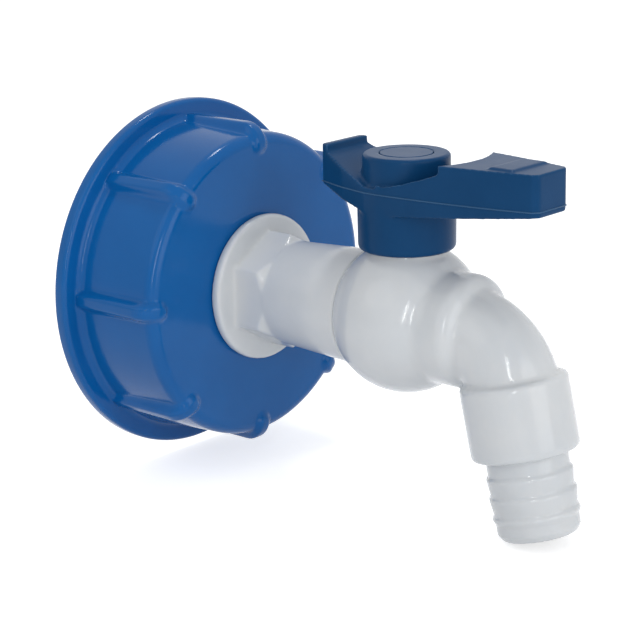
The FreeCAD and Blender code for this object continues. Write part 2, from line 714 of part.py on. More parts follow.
def make_lever():
    body = new_body("lever")
    # arm over the spout
    middle_bottom = "belly_bottom + (arm_end_bottom - belly_bottom) * 0.5"
    wing_root = "(lever_width / 2 - 0.2)"
    wing_middle = "(lever_width / 2 - 0.2 - (lever_width / 2 - 0.2 - wing_end_width / 2)" \
                  " * (wing_knee - wing_foot) / (wing_length - wing_foot) + wing_bulge)"
    lofted(body, [
        section(body, "0", "lever_width / 2", "belly_bottom", "lever_top"),
        section(body, "arm_length / 2", "arm_middle_width / 2", middle_bottom, "lever_top"),
        section(body, "(arm_length - arm_corner)", "arm_end_width / 2", "arm_end_bottom", "lever_top"),
    ], False)
    lofted(body, [
        section(body, "(arm_length - arm_corner)", "arm_end_width / 2", "arm_end_bottom", "lever_top"),
        section(body, "arm_length", "(arm_end_width / 2 - arm_corner)", "arm_end_bottom", "lever_top"),
    ], True)
    dish = polygon(new_sketch(body, "XZ_Plane", ("stem_distance", "0", "0")), [
        ("0", "lever_foot"), ("hub_radius", "lever_foot"), ("dish_middle_radius", "dish_middle"),
        ("dish_radius", "dish_rim"), ("dish_radius", "lever_top + 1"), ("0", "lever_top + 1"),
    ])
    turned(body, dish, "V_Axis", cut=True)
    # wing over the inlet: a ramp that rises to a finger lip
    lofted(body, [
        section(body, "0", "lever_width / 2", "belly_bottom", "lever_foot"),
        section(body, "(-wing_foot)", wing_root, "wing_foot_bottom", "lever_foot"),
    ], True)
    lofted(body, [
        section(body, "(-wing_foot)", wing_root, "wing_foot_bottom", "lip_top"),
        section(body, "(-wing_knee)", wing_middle, "wing_knee_bottom", "lip_top"),
        section(body, "(-wing_length)", "wing_end_width / 2", "wing_end_bottom", "lip_top"),
    ], True)
    ramp = polygon(new_sketch(body, "XZ_Plane", ("stem_distance", "0", "0")), [
        ("-wing_foot", "lever_foot"), ("-wing_foot", "lip_top + 1"),
        ("lip_thickness - wing_length", "lip_top + 1"), ("lip_thickness - wing_length", "lip_top - lip_rise"),
    ])
    padded(body, ramp, "2 * lever_width", cut=True, midplane=True)
    # hollow under the arm's end
    near = "(arm_middle_width / 2 - arm_wall)"
    far = "(arm_end_width / 2 - arm_wall)"
    far_x = "(arm_length - arm_corner - arm_wall)"
    hollow = polygon(new_sketch(body, "XY_Plane", ("stem_distance", "0", "belly_bottom")), [
        ("arm_hollow_start", "-" + near), (far_x, "-" + far), (far_x, far), ("arm_hollow_start", near),
    ])
    padded(body, hollow, "lever_top - arm_roof - belly_bottom", cut=True, backward=True)
    # hub over the stem and skirt round the post
    hub = circle(new_sketch(body, "XY_Plane", ("stem_distance", "0", "web_bottom")), ("0", "0"), "hub_radius")
    padded(body, hub, "hub_top - web_bottom")
    skirt = polygon(new_sketch(body, "XZ_Plane", ("stem_distance", "0", "0")), [
        ("0", "skirt_bottom"), ("skirt_bottom_radius", "skirt_bottom"), ("skirt_radius", "web_top - 3"),
        ("0", "web_top - 3"),
    ])
    turned(body, skirt, "V_Axis")
    rounded(body, "skirt_round", level_edge("skirt_bottom", "skirt_bottom_radius"))
    rounded(body, "hub_round", level_edge("hub_top", "hub_radius"))
    pad = polygon(new_sketch(body, "XY_Plane", ("stem_distance", "0", "lever_top - 1")),
                  rectangle(("pad_start", "-pad_width / 2"), ("pad_end", "pad_width / 2")))
    padded(body, pad, "pad_rise + 1")
    inside = polygon(new_sketch(body, "XZ_Plane", ("stem_distance", "0", "0")), [
        ("0", "skirt_bottom - 1"), ("skirt_inner_radius", "skirt_bottom - 1"),
        ("skirt_inner_radius", "web_bottom"), ("0", "web_bottom"),
    ])
    turned(body, inside, "V_Axis", cut=True)
    recess = polygon(new_sketch(body, "XZ_Plane", ("stem_distance", "0", "0")), [
        ("0", "web_top"), ("recess_radius", "web_top"),
        ("recess_radius", "hub_top - plug_thickness - plug_skirt_depth"),
        ("plug_radius", "hub_top - plug_thickness - plug_skirt_depth"),
        ("plug_radius", "hub_top + 1"), ("0", "hub_top + 1"),
    ])
    turned(body, recess, "V_Axis", cut=True)
    half = "drive_width / 2 + drive_clearance"
    square = polygon(new_sketch(body, "XY_Plane", ("stem_distance", "0", "web_top + 1")),
                     rectangle(("-(" + half + ")", "-(" + half + ")"), (half, half)))
    padded(body, square, "web_top - web_bottom + 2", cut=True)
    # rib inside the skirt that meets the stop on the post
    rib = polygon(new_sketch(body, "XZ_Plane", ("stem_distance", "0", "0"), turn="0", about=(0, 1, 0)),
                  rectangle(("stop_inner_radius + 0.2", "post_top + stop_gap"),
                            ("skirt_inner_radius + 0.5", "web_bottom + 0.5")))
    turned(body, rib, "V_Axis", angle="360 - quarter_turn - stop_angle - 2 * stop_play")
    return body


def make_screw():
    body = new_body("lever_screw")
    head_bottom = "web_top + washer_thickness"
    outline = polygon(new_sketch(body, "XZ_Plane", ("stem_distance", "0", "0")), [
        ("0", head_bottom + " - screw_length"), ("screw_radius", head_bottom + " - screw_length"),
        ("screw_radius", head_bottom), ("screw_head_radius", head_bottom),
        ("screw_head_radius", head_bottom + " + screw_head_height"), ("0", head_bottom + " + screw_head_height"),
    ])
    turned(body, outline, "V_Axis")
    slot = new_sketch(body, "XY_Plane", ("stem_distance", "0", head_bottom + " + screw_head_height"))
    polygon(slot, rectangle(("-screw_head_radius - 1", "-screw_slot_width / 2"),
                            ("screw_head_radius + 1", "screw_slot_width / 2")))
    padded(body, slot, "screw_slot_depth", cut=True)
    ring("screw_washer", (("washer_hole_radius", "web_top"), ("washer_radius", head_bottom)),
         shift=("stem_distance", "0", "0"), axis="V_Axis")


def make_plug():
    body = new_body("hub_plug")
    outer = "plug_radius - plug_clearance"
    outline = polygon(new_sketch(body, "XZ_Plane", ("stem_distance", "0", "0")), [
        ("0", "hub_top - plug_thickness"), (outer + " - plug_skirt_wall", "hub_top - plug_thickness"),
        (outer + " - plug_skirt_wall", "hub_top - plug_thickness - plug_skirt_depth"),
        (outer, "hub_top - plug_thickness - plug_skirt_depth"), (outer, "hub_top"), ("0", "hub_top"),
    ])
    turned(body, outline, "V_Axis")


# ---- hose tail ----
def make_nozzle():
    body = new_body("nozzle")
    outline = [
        ("passage_radius", "-(" + nozzle_top + ")"),
        ("socket_bore_radius - nozzle_tail_clearance", "-(" + nozzle_top + ")"),
        ("socket_bore_radius - nozzle_tail_clearance", "-socket_end"),
        ("barb_root_radius", "-socket_end"), ("barb_root_radius", "-barb_start"),
    ]
    for count in range(3):
        top = "barb_start + %d * barb_pitch" % count
        crest = "barb_crest_radius" if count else "barb_crest_radius - 0.1"
        outline += [(crest, "-(" + top + " + barb_lead)"), (crest, "-(" + top + " + barb_lead + 0.6)")]
        if count < 2:
            outline += [("barb_valley_radius", "-(" + top + " + barb_pitch)")]
    last = "barb_start + 2 * barb_pitch + barb_lead + 0.6"
    outline += [
        ("barb_valley_radius", "-(" + last + " + 0.8)"),
        ("barb_valley_radius", "-(" + last + " + 0.8 + barb_land)"),
        ("nozzle_tip_radius", "-nozzle_tip"), ("passage_radius", "-nozzle_tip"),
    ]
    turned(body, polygon(spout_sketch(body), outline), "V_Axis")
    ring("nozzle_washer", (("nozzle_washer_inner_radius", "-(" + nozzle_top + ")"),
                           ("socket_bore_radius - gasket_clearance", "-(" + socket_floor + ")")),
         shift=("spout_distance", "0", "0"), turn="spout_tilt", axis="V_Axis")


make_cap()
make_gaskets()
make_inlet()
make_body()
make_rings()
make_seat("inlet_seat", "-")
make_seat("outlet_seat", "+")
make_ball()
make_stem()
make_thrust_washer()
make_lever()
make_screw()
make_plug()
make_nozzle()

document.recompute()
os.makedirs("parts", exist_ok=True)
for item in document.Objects:
    if item.isDerivedFrom("PartDesign::Body") or item.TypeId == "Part::Torus":
        shape = item.Shape
        print(item.Label, shape.isValid(), len(shape.Solids), round(shape.Volume, 2),
              [round(value, 2) for value in (shape.BoundBox.XMin, shape.BoundBox.XMax, shape.BoundBox.YMin,
                                             shape.BoundBox.YMax, shape.BoundBox.ZMin, shape.BoundBox.ZMax)])
        shape.exportStep("parts/%s.step" % item.Label)
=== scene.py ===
import json
import math

import bmesh
import bpy
from mathutils import Matrix, Vector


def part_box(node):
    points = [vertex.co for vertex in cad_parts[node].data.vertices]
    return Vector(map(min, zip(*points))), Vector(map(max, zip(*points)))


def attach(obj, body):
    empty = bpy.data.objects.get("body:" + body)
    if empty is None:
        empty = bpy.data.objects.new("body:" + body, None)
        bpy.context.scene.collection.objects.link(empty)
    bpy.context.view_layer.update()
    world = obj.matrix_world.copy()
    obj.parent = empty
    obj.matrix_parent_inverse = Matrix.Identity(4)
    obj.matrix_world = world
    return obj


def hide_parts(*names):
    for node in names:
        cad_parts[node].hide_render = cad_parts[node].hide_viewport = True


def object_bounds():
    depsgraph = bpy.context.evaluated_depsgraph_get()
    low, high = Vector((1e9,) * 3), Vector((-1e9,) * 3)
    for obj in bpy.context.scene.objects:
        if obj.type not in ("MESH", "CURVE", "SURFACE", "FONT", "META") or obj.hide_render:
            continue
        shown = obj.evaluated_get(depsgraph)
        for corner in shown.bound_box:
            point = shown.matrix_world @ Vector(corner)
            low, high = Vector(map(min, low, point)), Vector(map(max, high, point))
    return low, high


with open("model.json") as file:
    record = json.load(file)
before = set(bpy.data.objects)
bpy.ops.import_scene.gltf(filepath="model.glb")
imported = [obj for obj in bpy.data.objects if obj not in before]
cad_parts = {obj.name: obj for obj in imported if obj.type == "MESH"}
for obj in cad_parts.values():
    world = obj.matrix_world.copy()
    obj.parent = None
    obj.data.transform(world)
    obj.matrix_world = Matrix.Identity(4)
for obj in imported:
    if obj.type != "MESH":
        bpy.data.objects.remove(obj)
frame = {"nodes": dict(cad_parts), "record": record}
cadLow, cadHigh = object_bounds()
print("frame loaded")

mm = 0.001
scene = bpy.context.scene
capLow, capHigh = (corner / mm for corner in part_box("cap_nut"))


# ---- camera ----
view = {
    "target": (43.732, 0.0, -5.387),
    "azimuth": 41.6,
    "elevation": 15.46,
    "roll": -1.14,
    "distance": 485.9,
    "lens": 120.04,
}


def makeCamera():
    azimuth, elevation, roll = (math.radians(view[key]) for key in ("azimuth", "elevation", "roll"))
    back = Vector((math.sin(azimuth) * math.cos(elevation), -math.cos(azimuth) * math.cos(elevation),
                   math.sin(elevation)))
    right = Vector((math.cos(azimuth), math.sin(azimuth), 0))
    up = back.cross(right)
    turnedRight = right * math.cos(roll) + up * math.sin(roll)
    turnedUp = up * math.cos(roll) - right * math.sin(roll)
    camera = bpy.data.objects.new("camera", bpy.data.cameras.new("camera"))
    scene.collection.objects.link(camera)
    camera.data.sensor_width = 36
    camera.data.lens = view["lens"]
    place = (Vector(view["target"]) + back * view["distance"]) * mm
    turn = Matrix((turnedRight, turnedUp, back)).transposed().to_4x4()
    camera.matrix_world = Matrix.Translation(place) @ turn
    camera.data.clip_start = 0.01
    camera.data.clip_end = 20
    scene.camera = camera


makeCamera()
scene.view_settings.view_transform = "Standard"
print("camera placed")


# ---- node trees written as expressions ----
class Wire:
    # an output socket that takes part in plain arithmetic
    def __init__(self, owner, socket):
        self.owner = owner
        self.socket = socket

    def maths(self, operation, *others):
        return self.owner.maths(operation, self, *others)

    def twin(self, name):
        # another output of the same node
        return Wire(self.owner, self.socket.node.outputs[name])

    def __add__(self, other):
        return self.maths("ADD", other)

    def __sub__(self, other):
        return self.maths("SUBTRACT", other)

    def __rsub__(self, other):
        return self.owner.maths("SUBTRACT", other, self)

    def __mul__(self, other):
        return self.maths("MULTIPLY", other)

    def __truediv__(self, other):
        return self.maths("DIVIDE", other)

    def __pow__(self, other):
        return self.maths("POWER", other)

    __radd__ = __add__
    __rmul__ = __mul__


class Nodes:
    # a node tree and the one way in which nodes are added to it
    def __init__(self, tree):
        self.tree = tree

    def node(self, kind, settings=None, values=None, out=0):
        made = self.tree.nodes.new(kind)
        for key, value in (settings or {}).items():
            setattr(made, key, value)
        for key, value in (values or {}).items():
            if isinstance(value, Wire):
                self.tree.links.new(value.socket, made.inputs[key])
            elif isinstance(value, tuple) and made.inputs[key].type == "RGBA":
                made.inputs[key].default_value = (*value, 1.0)
            else:
                made.inputs[key].default_value = value
        return Wire(self, made.outputs[out]) if len(made.outputs) else None

    def maths(self, operation, *values):
        return self.node("ShaderNodeMath", {"operation": operation}, dict(enumerate(values)))

    def seen(self):
        # 1 for rays from the camera and through gloss or glass, 0 for the light that falls on things
        path = self.node("ShaderNodeLightPath", out="Is Camera Ray")
        return (path + path.twin("Is Glossy Ray") + path.twin("Is Transmission Ray")).maths("MINIMUM", 1.0)


class Paint(Nodes):
    # one material
    def __init__(self, name):
        self.material = bpy.data.materials.new(name)
        self.material.use_nodes = True
        self.material.node_tree.nodes.clear()
        super().__init__(self.material.node_tree)

    def noise(self, scale, detail=3.0, roughness=0.5, stretch=None):
        spot = self.node("ShaderNodeTexCoord", out="Object")
        if stretch:
            spot = self.node("ShaderNodeMapping", {}, {"Vector": spot, "Scale": stretch})
        return self.node("ShaderNodeTexNoise", {}, {"Vector": spot, "Scale": scale, "Detail": detail,
                                                    "Roughness": roughness})

    def between(self, amount, first, second):
        return self.node("ShaderNodeMix", {"data_type": "RGBA"}, {0: amount, 6: first, 7: second}, out=2)

    def bump(self, height, depth, strength):
        return self.node("ShaderNodeBump", {}, {"Height": height, "Distance": depth, "Strength": strength})

    def finish(self, constants, wires):
        shader = self.node("ShaderNodeBsdfPrincipled", {}, {**constants, **wires})
        self.node("ShaderNodeOutputMaterial", {}, {"Surface": shader})
        return self.material


class Recipe(Nodes):
    # one Geometry Nodes tree with named inputs
    def __init__(self, name, inputs):
        tree = bpy.data.node_groups.new(name, "GeometryNodeTree")
        for label, kind in inputs.items():
            tree.interface.new_socket(label, in_out="INPUT", socket_type="NodeSocket" + kind)
        tree.interface.new_socket("Shape", in_out="OUTPUT", socket_type="NodeSocketGeometry")
        self.start = tree.nodes.new("NodeGroupInput")
        super().__init__(tree)

    def input(self, label):
        return Wire(self, self.start.outputs[label])

    def named(self, label):
        return self.node("GeometryNodeInputNamedAttribute", {"data_type": "FLOAT"}, {"Name": label})

    def end(self, shape):
        real = self.node("GeometryNodeRealizeInstances", {}, {"Geometry": shape})
        dressed = self.node("GeometryNodeSetMaterial", {}, {"Geometry": real,
                                                            "Material": self.input("Finish")})
        self.node("NodeGroupOutput", {}, {"Shape": dressed})
        return self


def spread(wire, low, high):
    # a noise between 0 and 1 laid out between two numbers
    return wire * (high - low) + low


# ---- materials ----
# the paler edge colour in each look is a painted highlight along raised edges
capPaint = {"deep": (0.002, 0.096, 0.325), "bright": (0.004, 0.121, 0.390), "edgeHighlightTint": (0.05, 0.19, 0.46),
            "roughness": (0.10, 0.17), "flow": 38.0, "skin": 1400.0, "shine": 0.24}
leverPaint = {"deep": (0.003, 0.046, 0.134), "bright": (0.006, 0.058, 0.164), "edgeHighlightTint": (0.055, 0.14, 0.27),
              "roughness": (0.27, 0.37), "flow": 55.0, "skin": 1900.0, "shine": 0.12}
# painted highlight: the parting-line bead is painted a paler blue in place of a lamp's glint
beadHighlightPaint = {**leverPaint, "deep": (0.030, 0.096, 0.205), "bright": (0.048, 0.125, 0.245)}
whitePaint = {"cool": (0.61, 0.64, 0.67), "pale": (0.69, 0.705, 0.715), "roughness": (0.10, 0.18)}


def mouldedPlastic(name, look):
    # moulded colour with faint flow marks, a painted highlight along raised edges, uneven gloss and a very
    # fine skin
    paint = Paint(name)
    flow = paint.noise(look["flow"], 4.0, 0.6)
    skin = paint.noise(look["skin"], 2.0, 0.5)
    body = paint.between(spread(flow, -0.4, 1.4), look["deep"], look["bright"])
    # painted highlight: raised edges turn paler in place of a lamp's glint
    edgeHighlight = paint.node("ShaderNodeAttribute", {"attribute_name": "paintedEdgeHighlight"}, out="Fac")
    colour = paint.between(edgeHighlight * spread(flow, 0.3, 1.0), body, look["edgeHighlightTint"])
    gloss = spread(paint.noise(look["flow"] * 3.1, 3.0, 0.55), *look["roughness"])
    return paint.finish({"IOR": 1.42, "Specular IOR Level": look["shine"]},
                        {"Base Color": colour, "Roughness": gloss,
                         "Normal": paint.bump(skin + flow * 2.0, 0.00006, 0.25)})


def milkyPlastic(name, look):
    # natural plastic that lets a little light in, with a cooler tone in its flow marks
    paint = Paint(name)
    flow = paint.noise(46.0, 4.0, 0.62)
    skin = paint.noise(900.0, 2.0, 0.5)
    colour = paint.between(spread(flow, -0.5, 1.5), look["cool"], look["pale"])
    gloss = spread(paint.noise(160.0, 3.0, 0.5), *look["roughness"])
    return paint.finish({"IOR": 1.48, "Specular IOR Level": 0.4, "Subsurface Weight": 0.35,
                         "Subsurface Radius": (0.9, 1.0, 1.1), "Subsurface Scale": 0.0022},
                        {"Base Color": colour, "Roughness": gloss,
                         "Normal": paint.bump(skin + flow * 2.0, 0.00005, 0.22)})


def rubber(name, tone, roughness):
    paint = Paint(name)
    mottle = paint.noise(240.0, 4.0, 0.6)
    dark, light = (tone * 0.6, tone * 0.6, tone * 0.62), (tone * 1.5, tone * 1.5, tone * 1.5)
    return paint.finish({"IOR": 1.52}, {"Base Color": paint.between(mottle, dark, light),
                                        "Roughness": spread(mottle, roughness, roughness + 0.15),
                                        "Normal": paint.bump(paint.noise(1500.0, 2.0), 0.00004, 0.35)})


def plainPlastic(name, first, second, roughness):
    paint = Paint(name)
    flow = paint.noise(70.0, 3.0, 0.55)
    return paint.finish({"IOR": 1.46}, {"Base Color": paint.between(flow, first, second),
                                        "Roughness": spread(flow, *roughness),
                                        "Normal": paint.bump(paint.noise(1100.0, 2.0), 0.00004, 0.25)})


def steel(name):
    paint = Paint(name)
    brushed = paint.noise(220.0, 3.0, 0.6, (1.0, 9.0, 1.0))
    colour = paint.between(brushed, (0.46, 0.46, 0.47), (0.66, 0.66, 0.67))
    return paint.finish({"Metallic": 1.0}, {"Base Color": colour, "Roughness": spread(brushed, 0.24, 0.42),
                                            "Normal": paint.bump(brushed, 0.00003, 0.2)})


finishes = {
    "cap_blue": mouldedPlastic("capBlue", capPaint),
    "lever_blue": mouldedPlastic("leverBlue", leverPaint),
    "milky_white": milkyPlastic("milkyWhite", whitePaint),
    "ball_white": plainPlastic("ballWhite", (0.70, 0.71, 0.72), (0.80, 0.80, 0.80), (0.12, 0.2)),
    "stem_white": plainPlastic("stemWhite", (0.62, 0.63, 0.64), (0.74, 0.74, 0.74), (0.32, 0.45)),
    "seat_white": plainPlastic("seatWhite", (0.80, 0.80, 0.78), (0.88, 0.88, 0.87), (0.35, 0.5)),
    "ring_black": rubber("ringRubber", 0.016, 0.42),
    "gasket_black": rubber("gasketRubber", 0.024, 0.6),
    "screw_steel": steel("screwSteel"),
}
mouldLine = mouldedPlastic("mouldLine", beadHighlightPaint)  # the lever's blue, paler as a painted highlight along the parting-line bead
slots = {part["node"]: part["material_slot"] for part in frame["record"]["subparts"]}
for nodeName, slotName in slots.items():
    node = frame["nodes"][nodeName]
    node.data.materials.clear()
    node.data.materials.append(finishes[slotName])
print("materials made")


# ---- shared shape work ----
def linked(name, mesh):
    piece = bpy.data.objects.new(name, mesh)
    scene.collection.objects.link(piece)
    return piece


def plainMesh(piece):
    # the mesh that a piece's modifiers lead to
    graph = bpy.context.evaluated_depsgraph_get()
    mesh = bpy.data.meshes.new_from_object(piece.evaluated_get(graph))
    mesh.name = piece.name
    return mesh


merge = {"together": 0.004, "sliver": 0.002}  # mm


def mergedCopy(nodeName, newName):
    # a CAD node's mesh copied and joined up, so that modifiers can work on it
    mesh = frame["nodes"][nodeName].data.copy()
    mesh.name = newName
    shape = bmesh.new()
    shape.from_mesh(mesh)
    bmesh.ops.remove_doubles(shape, verts=shape.verts, dist=merge["together"] * mm)
    bmesh.ops.dissolve_degenerate(shape, edges=shape.edges, dist=merge["sliver"] * mm)
    bmesh.ops.recalc_face_normals(shape, faces=shape.faces)
    shape.to_mesh(mesh)
    shape.free()
    return linked(newName, mesh)


def grown(source, recipe, values, paint):
    # runs a recipe on an object and leaves its plain mesh in a new piece of the same name
    name = source.name
    modifier = source.modifiers.new("recipe", "NODES")
    modifier.node_group = recipe.tree
    items = recipe.tree.interface.items_tree
    sockets = {item.name: item.identifier for item in items if item.in_out == "INPUT"}
    for key, value in values.items():
        modifier[sockets[key]] = value
    modifier[sockets["Finish"]] = paint
    mesh = plainMesh(source)
    bpy.data.objects.remove(source)
    piece = linked(name, mesh)
    piece.name = name
    return piece


def softCopy(nodeName, newName, form):
    # a CAD node's shape with its edges rounded as a mould leaves them
    piece = mergedCopy(nodeName, newName)
    remesh = piece.modifiers.new("remesh", "REMESH")
    remesh.mode = "VOXEL"
    remesh.voxel_size = form["grain"] * mm
    melt(piece, form["rounds"])
    if "valleys" in form:
        fillValleys(piece, form["valleys"])
    if "edgeHighlight" in form:
        markHighlightEdges(piece, form["edgeHighlight"])
    piece.data.polygons.foreach_set("use_smooth", [True] * len(piece.data.polygons))
    piece.data.materials.clear()
    piece.data.materials.append(finishes[slots[nodeName]])
    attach(piece, form["body"])
    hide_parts(nodeName)


def melt(piece, rounds, group=""):
    # evens the mesh out a little in each round, all over or where a vertex group says
    even = piece.modifiers.new("even", "SMOOTH")
    even.factor = 0.5
    even.iterations = rounds
    even.vertex_group = group
    mesh = plainMesh(piece)
    piece.modifiers.clear()
    piece.data = mesh


def fillValleys(piece, valleys):
    # melts the mesh near each ring where two round forms meet
    group = piece.vertex_groups.new(name="valley")
    for vertex in piece.data.vertices:
        x, y, z = vertex.co / mm
        weight = 0.0
        for ring in valleys["rings"]:
            gap = math.hypot(x - ring["x"], math.hypot(y, z - ring["z"]) - ring["radius"])
            weight = max(weight, 1.0 - gap / valleys["reach"])
        if weight > 0.0:
            group.add([vertex.index], min(1.0, weight * valleys["strength"]), "REPLACE")
    melt(piece, valleys["rounds"], "valley")
    piece.vertex_groups.clear()


def markHighlightEdges(piece, edgeHighlight):
    # stores how far each point stands out from its neighbours, for the painted highlight along raised edges
    mesh = piece.data
    lean = [0.0] * len(mesh.vertices)
    ties = [0] * len(mesh.vertices)
    for edge in mesh.edges:
        for here, there in (edge.vertices, reversed(edge.vertices)):
            step = mesh.vertices[there].co - mesh.vertices[here].co
            lean[here] -= step.dot(mesh.vertices[here].normal) / max(step.length, 0.001 * mm)
            ties[here] += 1
    values = [min(1.0, max(0.0, (total / max(count, 1) - edgeHighlight["from"]) / (edgeHighlight["to"] - edgeHighlight["from"])))
              for total, count in zip(lean, ties)]
    mesh.attributes.new("paintedEdgeHighlight", "FLOAT", "POINT").data.foreach_set("value", values)


def makeSweep():
    # a round bead along a line
    recipe = Recipe("sweptBead", {"Line": "Geometry", "Radius": "Float", "Sides": "Int", "Flatness": "Float",
                                  "Finish": "Material"})
    section = recipe.node("GeometryNodeCurvePrimitiveCircle", {}, {"Resolution": recipe.input("Sides"),
                                                                   "Radius": recipe.input("Radius")})
    scale = recipe.node("ShaderNodeCombineXYZ", {}, {"X": 1.0, "Y": recipe.input("Flatness"), "Z": 1.0})
    flattened = recipe.node("GeometryNodeTransform", {}, {"Geometry": section, "Scale": scale})
    tube = recipe.node("GeometryNodeCurveToMesh", {}, {"Curve": recipe.input("Line"), "Fill Caps": True,
                                                       "Profile Curve": flattened})
    return recipe.end(recipe.node("GeometryNodeSetShadeSmooth", {}, {"Geometry": tube}))


sweepRecipe = makeSweep()


def bead(name, points, closed, form, body, paint):
    curve = bpy.data.curves.new(name + "Line", "CURVE")
    curve.dimensions = "3D"
    spline = curve.splines.new("POLY")
    spline.points.add(len(points) - 1)
    for point, place in zip(spline.points, points):
        point.co = (*(value * mm for value in place), 1.0)
    spline.use_cyclic_u = closed
    piece = grown(linked(name, curve), sweepRecipe, {"Radius": form["radius"] * mm, "Sides": form["sides"],
                                                     "Flatness": form["flatness"]}, paint)
    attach(piece, body)


# ---- cap: a turned shell whose grip ribs are raised out of it ----
ribRise = 1.0
capForm = {
    "flangeRadius": capHigh.z,
    "flangeThickness": 3.6,
    "flangeRound": 1.1,
    "rootRadius": 36.5,
    "rootRound": 2.0,
    "frontRadius": 35.6,
    "frontRound": 2.7,
    "length": capHigh.x - ribRise,
    "pocket": (14.9, 1.4),  # radius and depth from the front
    "tapHole": (10.5, 7.2),
    "boss": 15.0,
    "wall": 4.2,
    "undercut": 30.7,
    "bore": (30.2, 18.25),  # radius and depth from the mouth
    "flangeSteps": 5,
    "rootSteps": 10,
    "wallSteps": 15,
    "cornerSteps": 12,
    "faceStep": 0.34,
    "facePast": 0.6,
    "sharpAbove": 50,  # degrees
    "rib": {"count": 8, "turn": 1.2, "crest": 38.0, "cornerCentre": (21.45, 32.7), "cornerRadius": 5.3,
            "rise": ribRise, "end": 33.2, "flat": 0.8, "foot": 2.8, "nearReach": 6.0, "nearStep": 0.5,
            "farFrom": 8.4, "farStep": 2.35, "farCount": 13},
    "thread": {"radius": 1.15, "sides": 12, "flatness": 1.0, "centre": 30.45, "pitch": 6.0, "start": 2.2,
               "finish": 16.6, "runOut": 0.25, "pointsPerTurn": 72},
}


def arcPoints(centre, radius, first, last, steps):
    angles = (math.radians(first + (last - first) * step / steps) for step in range(steps + 1))
    return [(centre[0] + radius * math.cos(angle), centre[1] + radius * math.sin(angle)) for angle in angles]


def capRows(form):
    # rows of the turned shell: place along the axis, radius, and how far a rib lifts it, along and out
    rib = form["rib"]
    rounding, root, front = form["flangeRound"], form["rootRound"], form["frontRound"]
    wallStart = form["flangeThickness"] + root
    wallEnd = form["length"] - front
    rows = []
    edge, thickness = form["flangeRadius"] - rounding, form["flangeThickness"]
    for x, r in arcPoints((rounding, edge), rounding, 180, 90, form["flangeSteps"]):
        rows.append((x, r, 0.0, 0.0, 0.0))
    for x, r in arcPoints((thickness - rounding, edge), rounding, 90, 0, form["flangeSteps"]):
        rows.append((x, r, 0.0, 0.0, 0.0))
    for x, r in arcPoints((wallStart, form["rootRadius"] + root), root, 180, 270, form["rootSteps"]):
        rows.append((x, r, 0.0, max(0.0, rib["crest"] - r), 0.0))
    for step in range(1, form["wallSteps"]):
        share = step / form["wallSteps"]
        x = wallStart + (wallEnd - wallStart) * share
        r = form["rootRadius"] + (form["frontRadius"] - form["rootRadius"]) * share
        rows.append((x, r, (rib["cornerCentre"][0] - wallEnd) * share, rib["crest"] - r, 0.0))
    corner = arcPoints((wallEnd, form["frontRadius"] - front), front, 90, 0, form["cornerSteps"])
    ribCorner = arcPoints(rib["cornerCentre"], rib["cornerRadius"], 90, 0, form["cornerSteps"])
    for (x, r), (ribX, ribR) in zip(corner, ribCorner):
        rows.append((x, r, ribX - x, ribR - r, max(0.0, rib["end"] - r)))
    r = form["frontRadius"] - front
    while r > rib["end"] - rib["foot"] - form["facePast"]:
        r -= form["faceStep"]
        rows.append((form["length"], r, rib["rise"], 0.0, max(0.0, rib["end"] - r)))
    for x, r in capInside(form):
        rows.append((x, r, 0.0, 0.0, rib["foot"] * 2))
    return rows


def capInside(form):
    # corners from the front face through the tap's hole and round the inside to the mouth
    pocketRadius, pocketDepth = form["pocket"]
    holeRadius, holeDepth = form["tapHole"]
    boreRadius, boreDepth = form["bore"]
    floor, boss, inside = (form["length"] - depth for depth in (pocketDepth, holeDepth, form["wall"]))
    return [(form["length"], pocketRadius), (floor, pocketRadius), (floor, holeRadius), (boss, holeRadius),
            (boss, form["boss"]), (inside, form["boss"]), (inside, form["undercut"]),
            (boreDepth, form["undercut"]), (boreDepth, boreRadius), (0.0, boreRadius)]


def capColumns(rib):
    # directions round the axis, close together over each rib
    reach, step = rib["nearReach"], rib["nearStep"]
    near = [-reach + step * count for count in range(int(2 * reach / step) + 1)]
    far = [rib["farFrom"] + rib["farStep"] * count for count in range(rib["farCount"])]
    return [math.radians(360 / rib["count"] * turn - rib["turn"] + offset)
            for turn in range(rib["count"]) for offset in near + far]


def makeRibRecipe():
    # lifts the shell by its rows' own lifts wherever a rib runs
    recipe = Recipe("capRibs", {"Shape": "Geometry", "Count": "Int", "Turn": "Float", "Flat": "Float",
                                "Foot": "Float", "Finish": "Material"})
    place = recipe.node("ShaderNodeSeparateXYZ", {}, {"Vector": recipe.node("GeometryNodeInputPosition")})
    across, up = place.twin("Y"), place.twin("Z")
    radius = (across * across + up * up) ** 0.5
    turns = (up.maths("ARCTAN2", across) + recipe.input("Turn")) * recipe.input("Count") / math.tau
    aside = (turns - turns.maths("ROUND")) * math.tau / recipe.input("Count") * radius
    past = recipe.named("pastEnd")
    away = (aside * aside + past * past) ** 0.5
    amount = recipe.node("ShaderNodeMapRange", {"interpolation_type": "SMOOTHSTEP"},
                         {"Value": away, "From Min": recipe.input("Flat"), "From Max": recipe.input("Foot"),
                          "To Min": 1.0, "To Max": 0.0})
    out = recipe.named("liftOut") * amount / radius
    lift = recipe.node("ShaderNodeCombineXYZ", {}, {"X": recipe.named("liftAlong") * amount,
                                                    "Y": out * across, "Z": out * up})
    return recipe.end(recipe.node("GeometryNodeSetPosition", {}, {"Geometry": recipe.input("Shape"),
                                                                  "Offset": lift}))


